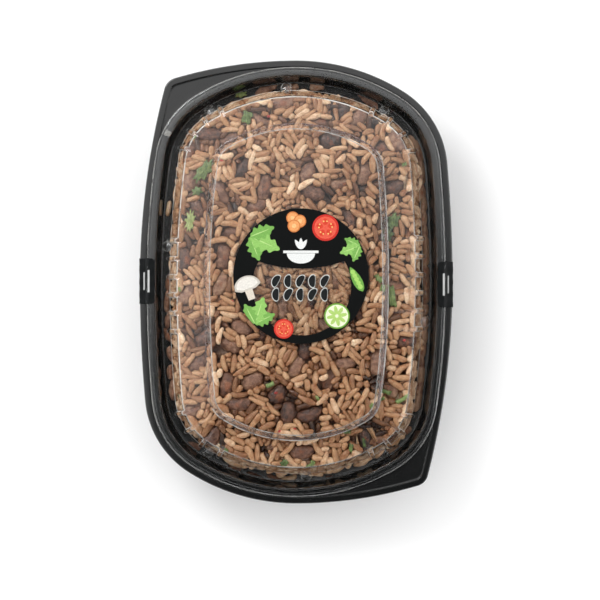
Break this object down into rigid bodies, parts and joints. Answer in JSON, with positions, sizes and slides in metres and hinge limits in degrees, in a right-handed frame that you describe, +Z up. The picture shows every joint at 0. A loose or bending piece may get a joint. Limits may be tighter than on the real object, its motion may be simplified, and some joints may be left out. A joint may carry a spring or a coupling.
{
  "type": "lidded tray of rice and beans",
  "caption": "Shut oval takeaway tray of mixed rice and beans: black tray with corner tabs, clear ribbed dome lid, round label and edge seals.",
  "frame": {"origin": "middle of the pack's footprint, on the surface that it stands on", "axes": "+Z up, +Y along the length towards the end whose left corner has a tab, +X to the right seen from above"},
  "size_m": [0.1512, 0.2124, 0.0492],
  "materials": {
    "tray_plastic": "black thermoformed plastic, satin with a soft gloss",
    "lid_plastic": "thin clear thermoformed plastic, polished",
    "rice": "cooked long grain rice stained tan by the beans, slightly moist",
    "beans": "cooked dark red-brown beans, slightly moist skin",
    "herbs": "chopped green herb leaves and stalks",
    "label_film": null,
    "seal_film": "satin black printed film with plain pale bars"
  },
  "bodies": {
    "root": {"tray": "tray_plastic", "rice_and_beans": "rice", "lid": "lid_plastic", "label": "label_film", "seal_left": "seal_film", "seal_right": "seal_film"}
  },
  "joints": []
}
